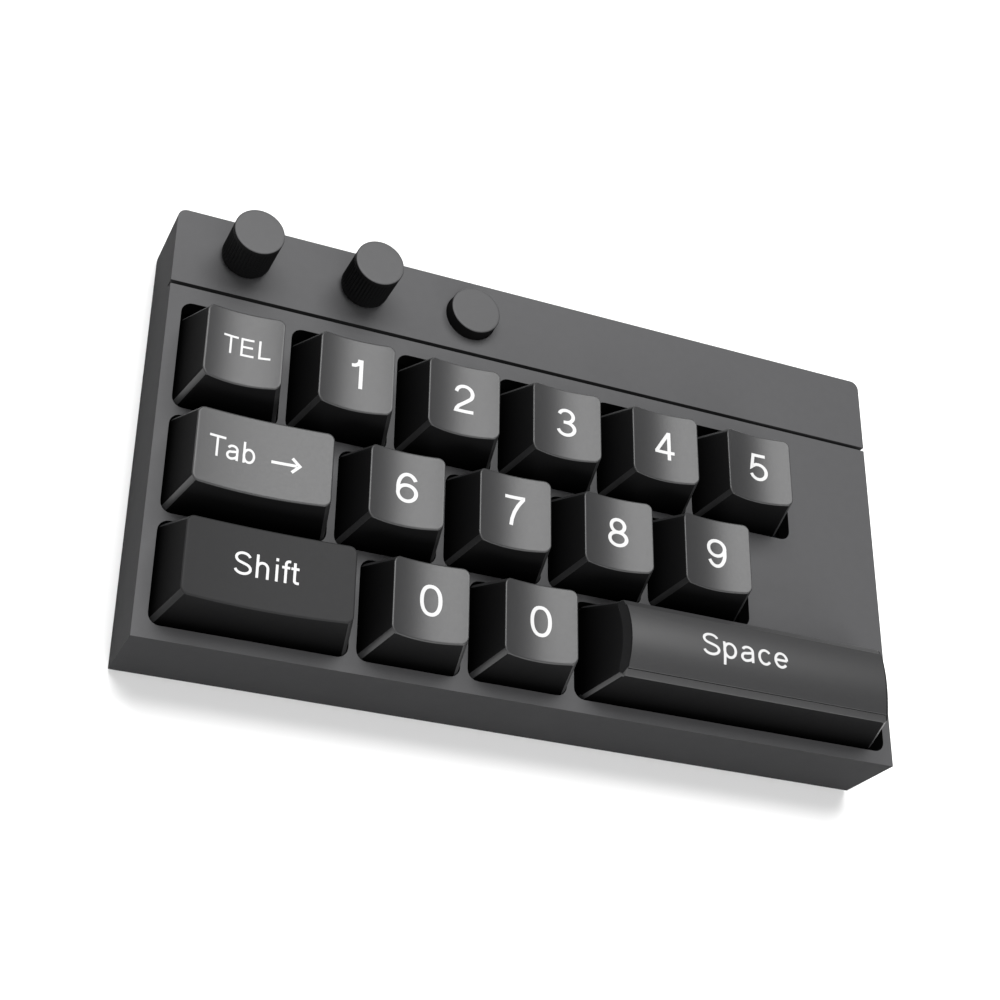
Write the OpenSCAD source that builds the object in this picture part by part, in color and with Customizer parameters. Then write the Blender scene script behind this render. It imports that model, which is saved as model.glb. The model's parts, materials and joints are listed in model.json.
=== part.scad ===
// Numeric keypad: a slab case with fifteen sprung keys, two push knobs and a round button.
// Origin at the centre of the footprint, on the table. +X right, +Y back, +Z up. Millimetres.

/* [Case] */
// Width of the case, left to right
case_w = 136; // [136:0.1:140]
// Depth of the case, front to back
case_d = 78.8; // [78.8:0.1:82]
// Height of the case walls, without the feet
case_h = 14.6; // [14.6:0.1:16]
// Thickness of the case walls
wall = 1.7; // [1.5:0.1:1.8]
// Thickness of the case's top skin
skin = 2; // [1.6:0.1:2.2]
// Depth of the ribs between the key windows
rib_depth = 3.4; // [2.5:0.1:4]
// Radius of the case's two back corners, seen from above
back_corner_r = 1.6; // [0.5:0.1:1.6]
// Height of the rubber feet
foot_h = 0.8; // [0.5:0.1:1.5]

/* [Keys] */
// Distance from one key centre to the next
pitch = 19.05; // [19.05:0.05:19.2]
// Distance from the case's left edge to the key field
field_left = 1.65; // [1.5:0.05:1.8]
// Distance from the case's front edge to the key field
field_front = 1.7; // [1.5:0.05:1.8]
// Width of the ribs between the key windows
rib = 1.3; // [1:0.1:1.4]
// Extra window room at the right of keys 5 and 9
extra_right = 2.45; // [0:0.05:2.6]
// Extra window room behind the back row
extra_back = 2.25; // [0:0.05:2.5]
// Width of a one-unit keycap at its skirt
cap_base = 17.35; // [17:0.05:17.4]
// Depth of every keycap at its skirt
cap_base_d = 16.9; // [16.8:0.05:17]
// Width of a one-unit keycap's top
cap_top = 12.8; // [12:0.1:14]
// Depth of every keycap's top
cap_top_d = 13.06; // [12:0.02:14]
// Height of the keycap corners above the case's top
cap_rise = 9.5; // [8:0.1:11]
// Height of the Space key's crown above its edges
crown = 1.5; // [1:0.1:1.6]
// Travel of every key
key_travel = 3; // [2.5:0.1:3]

/* [Controls] */
// Distance from the case's front edge to the groove in front of the control panel
groove_y = 63.5; // [63.3:0.1:63.7]
// Width of the groove
groove_w = 0.7; // [0.5:0.1:0.8]
// Radius of the knobs
knob_r = 4.35; // [4:0.05:4.6]
// Height of the knob tops above the panel
knob_rise = 8.95; // [7:0.05:12]
// Gap between a knob and the panel
knob_gap = 0.9; // [0.8:0.1:1.5]
// Radius of the round button
button_r = 4.6; // [4:0.1:5]
// Height of the round button above the panel
button_rise = 2.5; // [1.5:0.1:3]
// Travel of the knobs and of the round button when pressed
push_travel = 0.5; // [0.3:0.05:0.5]

/* [Hidden] */
$fn = 48;
// Overlap that fuses two solids, and how far a cut runs past a face
fuse = 0.1;
through = 1;
// Play at each side of a sliding piece, and gap between pieces that only touch
run = 0.1;
touch = 0.05;

x_left = -case_w / 2;
y_front = -case_d / 2;
base_z = foot_h;
top_z = foot_h + case_h;
skin_z = top_z - skin;
inner_w = case_w - 2 * wall;
window_r = 1.9;

// Ledge under the groove and the control panel's front edge
ledge_front = 1.4;
ledge_d = 4;
ledge_t = 1.5;

// Stack of boards, from the table up
base_t = 1.4;
board_z = base_z + base_t + 1.4;
board_t = 1.6;
board_top = board_z + board_t;
board_gap = 0.4;
plate_t = 1.2;
plate_top = board_top + 2.2;
flange_top = plate_top + 0.9;
housing_top = flange_top + 2.8;
switch_floor = board_top + 0.8;

// Base plate: tabs that hook into the front wall, standoffs under the board, feet
tab_w = 8;
tab_d = 1.6;
tab_z = 0.7;
tab_room = 0.2;
tab_x = [-45, -15, 15, 45];
standoff_r = 1.8;
standoff_x = [-40, 0, 40];
standoff_y = [-30, 8];
foot_r = 4;
foot_x = [-56, 56];
foot_y = [-31, 33];

// Screws: x and y of each boss, with the pilot hole, the screw and its cross recess
boss_at = [[-63.6, 24.4], [-23, 24.4], [20, 24.4], [63.6, 24.4], [64, -8]];
boss_r = 2.4;
boss_cap = 2;
screw_r = 0.84;
pilot_r = 0.85;
screw_len = 7;
screw_hole_r = 1.15;
head_r = 2;
head_h = 0.7;
drive_w = 2.4;
drive_t = 0.4;

// Switch plate: cut short beside the battery, and square holes for the switches
plate_edge = 2;
plate_d = 60;
plate_bay_x = 115.6;
plate_bay_y = 21.6;
plate_hole = 13.9;

// Switch halves, with the slider's channel; the upper half's neck retains the slider's lip
tub_w = 13.8;
flange_w = 15;
upper_w = 13.4;
slider_w = 7.2;
slider_d = 6;
lip = 0.8;
channel_w = slider_w + 2 * (lip + run);
channel_d = slider_d + 2 * (lip + run);
neck_z = housing_top - 0.75;
lip_z = switch_floor + key_travel + 0.15;
stem_shelf = housing_top + 0.3;
stem_top = 15;
spring_r = 1.9;
spring_wall = 0.3;
spring_top = stem_shelf - 0.6;
diode = [2.7, 1.6, 1.1];
diode_y = 5.2;

// Keycaps; they sit a little forward in their windows, and their tops more so
key_shift = -0.15;
top_shift = -0.5;
space_x = x_left + 103.5;
space_base = 57;
space_top = 51.4;
cap_r = 1.3;
cap_wall = 1.3;
cap_inner_r = 0.6;
cap_bottom = top_z - 3.2;
shoulder_z = top_z - 0.25;
cap_top_z = top_z + cap_rise;
dish_unit = 1.2;
dish_wide = 1;
roof_z = cap_top_z - 2.8;
roof_inset = 2.2;
crown_inset = 0.5;

// Crosses of the stems and of the stabiliser inserts, and the posts that press onto them
cross_t = 1.2;
cross_arm = 4;
stab_arm = 3;
cross_fit = 0.06;
post_r = 2.75;
stab_post_r = 2;

// Space stabiliser: housings, inserts and wire
stab_half = 19.05;
stab_y = y_front + field_front + pitch / 2 + key_shift;
stab_w = 6;
stab_d = 9;
stab_top = housing_top - 0.7;
insert_w = 4;
insert_d = 5;
insert_z = board_top + key_travel + 0.4;
insert_window = [1.5, 2.2, 1.9];
insert_window_y = 1.7;
wire_r = 0.6;
wire_fit = 0.06;
wire_y = y_front + 19.45;
wire_z = board_top + 3.15;
wire_arm = 6.9;
wire_angle = asin(key_travel / 2 / wire_arm);
arm_slot_w = 1.6;
arm_slot_d = 4;
arm_room = [1.9, 3];
arm_room_y = 5.8;
seat_w = 1.7;
seat_x = 2.1;
seat_lip = 0.3;

// Control row
strip_y = y_front + 71.6;
knob_x = [x_left + 12.1, x_left + 33.4];
button_x = x_left + 53.9;

// Encoders: a can with a bushing, a rotor inside, and a shaft that slides through the rotor
encoder_w = 10.4;
encoder_d = 9.6;
encoder_top = board_top + 5;
encoder_floor = board_top + 0.5;
encoder_roof = encoder_top - 0.8;
cavity_r = 4.1;
bushing_r = 3.9;
bushing_top = skin_z - 0.5;
rotor_r = 4;
rotor_h = 1.65;
key_bore = 2.5;
key_bar = 2.4;
shaft_r = 3;
shaft_fit = 0.05;
shaft_flange_r = 3.6;
shaft_flange_z = 8.45;
shaft_top = top_z + knob_rise - 2;
panel_hole_gap = 0.3;

// Knobs: a straight fluted grip between a plain collar and a rounded top edge
flutes = 44;
flute_out = 0.05;
flute_in = 0.2;
collar_h = 0.8;
rim_h = 0.9;
rim = [[0, 0.5], [0.07, 0.2], [0.3, 0]];
knob_foot = 0.25;
knob_bore_fit = 0.02;

// Round button: cap, retaining flange under the panel, rod onto the tact switch
button_gap = 0.15;
button_edge = 0.2;
button_flange = 0.8;
button_rod_r = 1.6;
plunger_r = 1.7;
plunger_top = board_top + 4.45;
tact_w = 6;
tact_h = 3.5;
tact_bore_r = 1.8;
tact_floor = board_top + 0.7;

// Back wall connectors
usb_w = 8.94;
usb_h = 3.26;
usb_len = 7.3;
usb_z = board_top + usb_h / 2;
usb_room = 0.15;
usb_shell = 0.3;
usb_tongue = [6.6, 0.7];
usb_tongue_in = 0.5;
usb_from_edge = 0.3;
power_x = 40;
power_z = board_top + 1.7;
power_travel = 2;
power_body = [8.6, 3.6, 3.4];
power_thumb = [1.6, 0.5, 1.4];
power_thumb_in = 0.7;
power_shoe = [2.4, 2.2];
power_body_y = 2.2;
power_shoe_y = 1.6;
power_slot_w = 5.2;
power_slot_h = 2;

// Battery bay at the right of keys 5 and 9
cell = [12.5, 36, 4.2];
cell_at = [x_left + 116.4, y_front + 22.6, board_top + 0.3];
lead_r = 0.45;
lead_spacing = 2.5;
lead_reach = 2.5;
lead_at = [5, 0, 2];

// Controller chip
chip_w = 7;
chip_h = 0.9;
chip_at = [12, strip_y - 3, 0];

// Keys: name, first unit column, width in units, row from the back
KEYS = [
    ["tel", 0, 1, 0], ["1", 1, 1, 0], ["2", 2, 1, 0], ["3", 3, 1, 0], ["4", 4, 1, 0], ["5", 5, 1, 0],
    ["tab", 0, 1.5, 1], ["6", 1.5, 1, 1], ["7", 2.5, 1, 1], ["8", 3.5, 1, 1], ["9", 4.5, 1, 1],
    ["shift", 0, 1.75, 2], ["0_left", 1.75, 1, 2], ["0_right", 2.75, 1, 2], ["space", 3.75, 3.25, 2]
];
ROOT_NODES = [
    "upper_case", "control_panel", "base_plate", "case_screws", "rubber_feet", "switch_plate",
    "circuit_board", "switch_lower_housings", "switch_upper_housings", "switch_springs",
    "stabilizer_housings", "encoder_housings", "button_switch", "usb_socket", "power_switch",
    "battery_cell", "battery_leads", "controller_chip", "key_diodes"
];
MOVING_NODES = [
    "stabilizer_inserts", "stabilizer_wire", "encoder_rotor_left", "encoder_rotor_right",
    "encoder_shaft_left", "encoder_shaft_right", "knob_left", "knob_right",
    "round_button", "button_plunger", "power_slider"
];

// Key geometry: the Space key is a little narrower than its window and sits towards the right
function is_space(k) = k[0] == "space";
function key_x(k) = is_space(k) ? space_x : x_left + field_left + (k[1] + k[2] / 2) * pitch;
function key_y(k) = y_front + field_front + (2.5 - k[3]) * pitch + key_shift;
function cap_w(k) = is_space(k) ? space_base : cap_base + (k[2] - 1) * pitch;
function top_w(k) = is_space(k) ? space_top : cap_top + (k[2] - 1) * pitch;
function dish(k) = k[2] == 1 ? dish_unit : dish_wide;
// Radius of an arc from half its chord and its rise
function arc_radius(half, rise) = (half * half + rise * rise) / (2 * rise);

// Outline of a rectangle with round corners, centred, as a list of points
function round_rect(w, d, r, steps) = [
    for (q = [0 : 3]) for (i = [0 : steps])
        let (a = 90 * q + 90 * i / steps, sx = q == 0 || q == 3 ? 1 : -1, sy = q < 2 ? 1 : -1)
            [sx * (w / 2 - r) + r * cos(a), sy * (d / 2 - r) + r * sin(a)]
];

module slab(w, d, r, h, steps = 4) {
    linear_extrude(h) polygon(round_rect(w, d, r, steps));
}

module box(w, d, z0, z1) {
    translate([-w / 2, -d / 2, z0]) cube([w, d, z1 - z0]);
}

module rod(r, z0, z1) {
    translate([0, 0, z0]) cylinder(r = r, h = z1 - z0);
}

module at_key(k) {
    translate([key_x(k), key_y(k), 0]) children();
}

module at_each_key() {
    for (k = KEYS) at_key(k) children();
}

module at_bosses() {
    for (p = boss_at) translate([p[0], p[1], 0]) children();
}

module at_tabs() {
    for (x = tab_x) translate([x, y_front + wall, 0]) children();
}

module at_stabs() {
    for (s = [-1, 1]) translate([space_x + s * stab_half, stab_y, 0]) children();
}

// Case outline from the line y0 backwards: square front corners, round back corners
module case_outline(shrink = 0, y0 = 0) {
    steps = 5;
    r = max(back_corner_r - shrink, 0.3);
    x1 = case_w / 2 - shrink;
    lo = y_front + max(y0, shrink);
    hi = case_d / 2 - shrink;
    right = [for (i = [0 : steps]) let (a = 90 * i / steps) [x1 - r + r * cos(a), hi - r + r * sin(a)]];
    left = [for (i = [steps : -1 : 0]) [-right[i][0], right[i][1]]];
    polygon(concat([[-x1, lo], [x1, lo]], right, left));
}

module key_windows() {
    for (k = KEYS) {
        more_x = (k[0] == "5" || k[0] == "9") ? extra_right : 0;
        more_y = k[3] == 0 ? extra_back : 0;
        w = k[2] * pitch - rib + more_x;
        d = pitch - rib + more_y;
        x0 = x_left + field_left + k[1] * pitch + rib / 2;
        y0 = y_front + field_front + (2 - k[3]) * pitch + rib / 2;
        translate([x0 + w / 2, y0 + d / 2, base_z]) slab(w, d, window_r, case_h + through, 5);
    }
}

module usb_outline(grow) {
    // the end radius stays just under half the height, so that the sides keep some length
    polygon(round_rect(usb_w + 2 * grow, usb_h + 2 * grow, usb_h / 2 + grow - 0.01, 6));
}

// Walls and skin around the keys, a ledge for the control panel, bosses for the screws
module upper_case() {
    color("#3b3b3d") difference() {
        union() {
            difference() {
                translate([0, 0, base_z]) linear_extrude(case_h) case_outline();
                translate([0, 0, base_z - through])
                    linear_extrude(case_h - skin + through) case_outline(wall);
            }
            // ribs between the windows, and the ledge behind them
            translate([-inner_w / 2 - fuse, y_front + wall - fuse, top_z - rib_depth])
                cube([inner_w + 2 * fuse, groove_y - ledge_front - wall + 2 * fuse,
                    rib_depth - skin + fuse]);
            translate([-inner_w / 2 - fuse, y_front + groove_y - ledge_front, skin_z - ledge_t])
                cube([inner_w + 2 * fuse, ledge_d, ledge_t + fuse]);
            at_bosses() rod(boss_r, base_z + base_t, skin_z + fuse);
        }
        key_windows();
        // rebate for the control panel and the groove in front of it
        translate([x_left - through, y_front + groove_y, skin_z])
            cube([case_w + 2 * through, case_d, skin + through]);
        at_bosses() rod(pilot_r, base_z, skin_z - boss_cap);
        // openings in the back wall, and slots for the base plate's front tabs
        translate([0, case_d / 2 + through, usb_z]) rotate([90, 0, 0])
            linear_extrude(wall + 2 * through) usb_outline(usb_room);
        translate([power_x, case_d / 2 - wall / 2, power_z])
            cube([power_slot_w, wall + through, power_slot_h], center = true);
        at_tabs() box(tab_w + 2 * tab_room, tab_d + tab_room, base_z + tab_z - run, base_z + base_t + run);
    }
}

// Plate along the back that carries the knobs and the round button
module control_panel() {
    color("#3b3b3d") difference() {
        translate([0, 0, skin_z]) linear_extrude(skin) case_outline(0, groove_y + groove_w);
        for (x = knob_x) translate([x, strip_y, 0])
            rod(shaft_r + panel_hole_gap, skin_z - through, top_z + through);
        translate([button_x, strip_y, 0]) rod(button_r + button_gap, skin_z - through, top_z + through);
    }
}

// Bottom cover: tabs hook into the front wall, screws hold the rest
module base_plate() {
    color("#2b2b2d") difference() {
        union() {
            translate([0, 0, base_z]) linear_extrude(base_t) case_outline(wall + run);
            at_tabs() translate([0, run, 0]) box(tab_w, tab_d, base_z + tab_z, base_z + base_t);
            for (x = standoff_x, y = standoff_y) translate([x, y, 0])
                rod(standoff_r, base_z + base_t, board_z);
        }
        at_bosses() {
            rod(screw_hole_r, base_z - through, base_z + base_t + through);
            rod(head_r + run, base_z - through, base_z + head_h);
        }
    }
}

module case_screws() {
    color("#8a8c90") at_bosses() difference() {
        union() {
            rod(head_r, base_z + touch, base_z + head_h);
            rod(screw_r, base_z + head_h, base_z + screw_len);
        }
        for (turn = [0, 90]) rotate([0, 0, turn]) box(drive_w, drive_t, base_z, base_z + drive_t);
    }
}

module rubber_feet() {
    color("#1c1c1c") for (x = foot_x, y = foot_y) translate([x, y, 0]) rod(foot_r, 0, foot_h);
}

// Steel plate that holds the switches, cut short beside the battery
module switch_plate() {
    x0 = x_left + plate_edge;
    x1 = x_left + plate_bay_x;
    x2 = case_w / 2 - plate_edge;
    y0 = y_front + plate_edge;
    y1 = y_front + plate_bay_y;
    y2 = y_front + plate_d;
    z0 = plate_top - plate_t - through;
    z1 = plate_top + through;
    color("#26272a") difference() {
        translate([0, 0, plate_top - plate_t]) linear_extrude(plate_t)
            polygon([[x0, y0], [x2, y0], [x2, y1], [x1, y1], [x1, y2], [x0, y2]]);
        at_each_key() box(plate_hole, plate_hole, z0, z1);
        at_stabs() {
            box(stab_w + 2 * run, stab_d + 2 * run, z0, z1);
            // room for the wire's arms when the Space key is down
            translate([0, arm_room_y, 0]) box(arm_room[0], arm_room[1], z0, z1);
        }
    }
}

module circuit_board() {
    color("#1d3a2a") difference() {
        translate([0, 0, board_z]) linear_extrude(board_t) case_outline(wall + board_gap);
        at_bosses() rod(boss_r + 3 * run, board_z - through, board_top + through);
    }
}

// Lower halves of the key switches: a square tub with a flange that rests on the plate
module switch_lower_housings() {
    color("#202022") at_each_key() difference() {
        union() {
            box(tub_w, tub_w, board_top, plate_top);
            box(flange_w, flange_w, plate_top, flange_top);
        }
        box(channel_w, channel_d, switch_floor, flange_top + through);
    }
}

module switch_upper_housings() {
    color("#2c2c30") at_each_key() difference() {
        box(upper_w, upper_w, flange_top, housing_top);
        box(channel_w, channel_d, flange_top - through, neck_z);
        box(slider_w + 2 * run, slider_d + 2 * run, flange_top, housing_top + through);
    }
}

// Springs as thin sleeves that fill the coil's outline
module switch_springs() {
    color("#c9b37a") at_each_key() difference() {
        rod(spring_r, switch_floor, spring_top);
        rod(spring_r - spring_wall, switch_floor - through, spring_top + through);
    }
}

// Cross that a keycap presses onto
module cross(arm) {
    box(arm, cross_t, stem_shelf, stem_top);
    box(cross_t, arm, stem_shelf, stem_top);
}

// Sliding stem: a lipped block with a pocket for the spring and a cross for the keycap
module key_stem(k) {
    color("#7a4a3a") at_key(k) difference() {
        union() {
            box(slider_w + 2 * lip, slider_d + 2 * lip, lip_z, neck_z - touch);
            box(slider_w, slider_d, lip_z, stem_shelf);
            cross(cross_arm);
        }
        rod(spring_r + 2 * run, lip_z - through, spring_top);
    }
}

// Solid between two rectangles at z0 and z1; the upper one sits forward by the tops' shift
module cap_hull(w, d, tw, td, z0, z1, r, steps) {
    thin = 0.01;
    hull() {
        translate([0, 0, z0]) slab(w, d, r, thin, steps);
        translate([0, top_shift, z1 - thin]) slab(tw, td, r, thin, steps);
    }
}

// The dish of a typing key runs front to back
module dish_cut(k) {
    r = arc_radius(top_w(k) / 2, dish(k));
    translate([0, 0, cap_top_z - dish(k) + r]) rotate([90, 0, 0])
        cylinder(r = r, h = 2 * cap_base_d, center = true, $fn = 192);
}

// The crown of the Space key runs left to right
module crown_body() {
    r = arc_radius(cap_top_d / 2, crown);
    translate([0, top_shift, cap_top_z + crown - r]) rotate([0, 90, 0])
        cylinder(r = r, h = 2 * space_base, center = true, $fn = 96);
}

module cap_block(k) {
    if (is_space(k)) {
        slope = (space_base - space_top) / (cap_top_z - shoulder_z);
        intersection() {
            cap_hull(space_base, cap_base_d, space_top - slope * crown, cap_top_d - crown_inset,
                shoulder_z, cap_top_z + crown, cap_r, 4);
            crown_body();
        }
    } else difference() {
        cap_hull(cap_w(k), cap_base_d, top_w(k), cap_top_d, shoulder_z, cap_top_z, cap_r, 4);
        dish_cut(k);
    }
}

module cap_shell(k) {
    inner_w = cap_w(k) - 2 * cap_wall;
    inner_d = cap_base_d - 2 * cap_wall;
    difference() {
        union() {
            translate([0, 0, cap_bottom]) slab(cap_w(k), cap_base_d, cap_r, shoulder_z - cap_bottom);
            cap_block(k);
        }
        translate([0, 0, cap_bottom - through])
            slab(inner_w, inner_d, cap_inner_r, shoulder_z - cap_bottom + through + 0.01, 2);
        cap_hull(inner_w, inner_d, top_w(k) - roof_inset, cap_top_d - 2 * cap_wall,
            shoulder_z, roof_z, cap_inner_r, 2);
    }
}

// Post with a cross-shaped socket that presses onto a stem or a stabiliser insert
module cap_post(r, arm) {
    socket = cross_t + cross_fit;
    difference() {
        rod(r, stem_shelf + touch, roof_z + 2 * fuse);
        box(arm + cross_fit, socket, stem_shelf, stem_top + fuse);
        box(socket, arm + cross_fit, stem_shelf, stem_top + fuse);
    }
}

module keycap(k) {
    color("#454547") at_key(k) union() {
        cap_shell(k);
        cap_post(post_r, cross_arm);
        if (is_space(k))
            for (s = [-1, 1]) translate([s * stab_half, 0, 0]) cap_post(stab_post_r, stab_arm);
    }
}

// Stabiliser housings: a channel for the insert, a slot for the wire's arm and an open seat
// for the wire's long bar
module stabilizer_housings() {
    seat_front = stab_y + stab_d / 2 - fuse;
    seat_back = wire_y + wire_r + seat_lip;
    slot_y = stab_y + (stab_d - 1) / 2;
    color("#202022") for (s = [-1, 1])
        translate([space_x + s * stab_half, 0, 0]) difference() {
            union() {
                translate([0, stab_y, 0]) box(stab_w, stab_d, board_top, stab_top);
                translate([-s * seat_x, (seat_front + seat_back) / 2, 0])
                    box(seat_w, seat_back - seat_front, plate_top, wire_z);
            }
            translate([0, stab_y, 0])
                box(insert_w + 2 * run, insert_d + 2 * run, board_top + 3 * run, housing_top + through);
            translate([0, slot_y, 0])
                box(arm_slot_w, arm_slot_d, board_top + 4 * run, housing_top + through);
            translate([0, wire_y, wire_z]) rotate([0, 90, 0])
                cylinder(r = wire_r + wire_fit, h = 2 * stab_w, center = true);
        }
}

// Inserts with a cross on top and a window for the wire's end
module stabilizer_inserts() {
    window_z = insert_z + 3 * run;
    color("#d8d8d4") at_stabs() difference() {
        union() {
            box(insert_w, insert_d, insert_z, stem_shelf);
            cross(stab_arm);
        }
        translate([0, insert_window_y, 0])
            box(insert_window[0], insert_window[1], window_z, window_z + insert_window[2]);
    }
}

// Steel wire: a long bar behind the Space switch and two arms that reach the inserts
module stabilizer_wire() {
    color("#b9bcc0") translate([space_x, wire_y, wire_z]) {
        rotate([0, 90, 0]) cylinder(r = wire_r, h = 2 * stab_half, center = true);
        for (s = [-1, 1]) translate([s * stab_half, 0, 0]) {
            sphere(r = wire_r);
            rotate([90 - wire_angle, 0, 0]) cylinder(r = wire_r, h = wire_arm);
        }
    }
}

// Encoder housings: a can on the board and a bushing up to the panel
module encoder_housings() {
    color("#9a9ca0") for (x = knob_x) translate([x, strip_y, 0]) difference() {
        union() {
            box(encoder_w, encoder_d, board_top, encoder_top);
            rod(bushing_r, encoder_top, bushing_top);
        }
        rod(cavity_r, encoder_floor, encoder_roof);
        rod(shaft_r + shaft_fit, encoder_top - through, bushing_top + through);
    }
}

module encoder_rotor(i) {
    z0 = encoder_floor + touch;
    color("#d0cfc8") translate([knob_x[i], strip_y, 0]) difference() {
        rod(rotor_r, z0, z0 + rotor_h);
        box(key_bore, key_bore, z0 - through, z0 + rotor_h + through);
    }
}

module encoder_shaft(i) {
    flange_top = encoder_roof - touch;
    color("#b4b7bb") translate([knob_x[i], strip_y, 0]) {
        box(key_bar, key_bar, encoder_floor + run + push_travel, shaft_flange_z);
        rod(shaft_flange_r, shaft_flange_z, flange_top);
        rod(shaft_r, flange_top, shaft_top);
    }
}

module knob(i) {
    z0 = top_z + knob_gap;
    h = knob_rise - knob_gap;
    color("#333335") translate([knob_x[i], strip_y, 0]) difference() {
        translate([0, 0, z0]) rotate_extrude() polygon(concat(
            [[0, 0], [knob_r - knob_foot, 0], [knob_r, knob_foot]],
            [for (p = rim) [knob_r - p[0], h - p[1]]], [[0, h]]
        ));
        difference() {
            rod(knob_r + through, z0 + collar_h, z0 + h - rim_h);
            translate([0, 0, z0]) linear_extrude(h) polygon([
                for (n = [0 : 2 * flutes - 1])
                    let (r = knob_r + (n % 2 == 0 ? flute_out : -flute_in), a = 180 * n / flutes)
                        r * [cos(a), sin(a)]
            ]);
        }
        rod(shaft_r + knob_bore_fit, z0 - through, shaft_top + knob_bore_fit);
    }
}

module round_button() {
    edge_z = top_z + button_rise - button_edge;
    flange_top = skin_z - touch;
    flange_z = flange_top - button_flange;
    color("#3d3d3f") translate([button_x, strip_y, 0]) {
        rod(button_r, flange_top, edge_z);
        translate([0, 0, edge_z]) cylinder(r1 = button_r, r2 = button_r - button_edge, h = button_edge);
        rod(button_r + button_flange, flange_z, flange_top);
        rod(button_rod_r, plunger_top, flange_z);
    }
}

module button_plunger() {
    color("#c8c4b8") translate([button_x, strip_y, 0])
        rod(plunger_r, tact_floor + run + push_travel, plunger_top);
}

module button_switch() {
    color("#55575c") translate([button_x, strip_y, 0]) difference() {
        box(tact_w, tact_w, board_top, board_top + tact_h);
        rod(tact_bore_r, tact_floor, board_top + tact_h + through);
    }
}

// Shell and tongue of the USB-C socket, mouth just inside the back wall
module usb_socket() {
    color("#a8aaad") translate([0, case_d / 2 - usb_from_edge, usb_z]) rotate([90, 0, 0]) difference() {
        linear_extrude(usb_len) usb_outline(0);
        difference() {
            translate([0, 0, -through]) linear_extrude(usb_len) usb_outline(-usb_shell);
            translate([-usb_tongue[0] / 2, -usb_tongue[1] / 2, usb_tongue_in])
                cube([usb_tongue[0], usb_tongue[1], usb_len]);
        }
    }
}

module power_switch() {
    inner_h = power_thumb[2] + 2 * run;
    color("#9a9ca0") translate([power_x, case_d / 2 - wall - power_body_y, 0]) difference() {
        box(power_body[0], power_body[1], board_top, board_top + power_body[2]);
        translate([0, 1, 0]) box(
            power_travel + power_shoe[0] + 2 * run, power_shoe[1] + 1,
            power_z - inner_h / 2, power_z + inner_h / 2
        );
    }
}

// Slider of the power switch, at the left end of its slot: a shoe inside and a thumb outside
module power_slider() {
    z0 = power_z - power_thumb[2] / 2;
    z1 = power_z + power_thumb[2] / 2;
    color("#2a2a2c") translate([power_x - power_travel / 2, case_d / 2 - wall, 0]) {
        translate([0, -power_shoe_y, 0]) box(power_shoe[0], power_shoe[1], z0, z1);
        translate([0, (wall - power_thumb_in) / 2, 0]) box(power_thumb[0], wall + power_thumb[1], z0, z1);
    }
}

module battery_cell() {
    color("#b8bcc2") translate(cell_at) cube(cell);
}

// Two leads from the cell's back end down to the board
module battery_leads() {
    drop = lead_at[2] + cell_at[2] - board_top;
    for (s = [0, 1]) color(s == 0 ? "#b02020" : "#202020")
        translate(cell_at + [lead_at[0] + lead_spacing * s, cell[1], lead_at[2]]) {
            rotate([-90, 0, 0]) cylinder(r = lead_r, h = lead_reach);
            translate([0, lead_reach, 0]) sphere(r = lead_r);
            translate([0, lead_reach, -drop]) cylinder(r = lead_r, h = drop);
        }
}

module controller_chip() {
    color("#1b1c1e") translate(chip_at) box(chip_w, chip_w, board_top, board_top + chip_h);
}

module key_diodes() {
    color("#1b1c1e") at_each_key() translate([0, diode_y, 0])
        box(diode[0], diode[1], board_z - diode[2], board_z);
}

upper_case();
control_panel();
base_plate();
case_screws();
rubber_feet();
switch_plate();
circuit_board();
switch_lower_housings();
switch_upper_housings();
switch_springs();
stabilizer_housings();
encoder_housings();
button_switch();
usb_socket();
power_switch();
battery_cell();
battery_leads();
controller_chip();
key_diodes();
stabilizer_inserts();
stabilizer_wire();
encoder_rotor(0);  // encoder_rotor_left
encoder_rotor(1);  // encoder_rotor_right
encoder_shaft(0);  // encoder_shaft_left
encoder_shaft(1);  // encoder_shaft_right
knob(0);  // knob_left
knob(1);  // knob_right
round_button();
button_plunger();
power_slider();
for (k = KEYS) {
    keycap(k);
    key_stem(k);
}
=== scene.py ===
import json
import math

import bmesh
import bpy
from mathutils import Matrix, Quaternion, Vector

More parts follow.
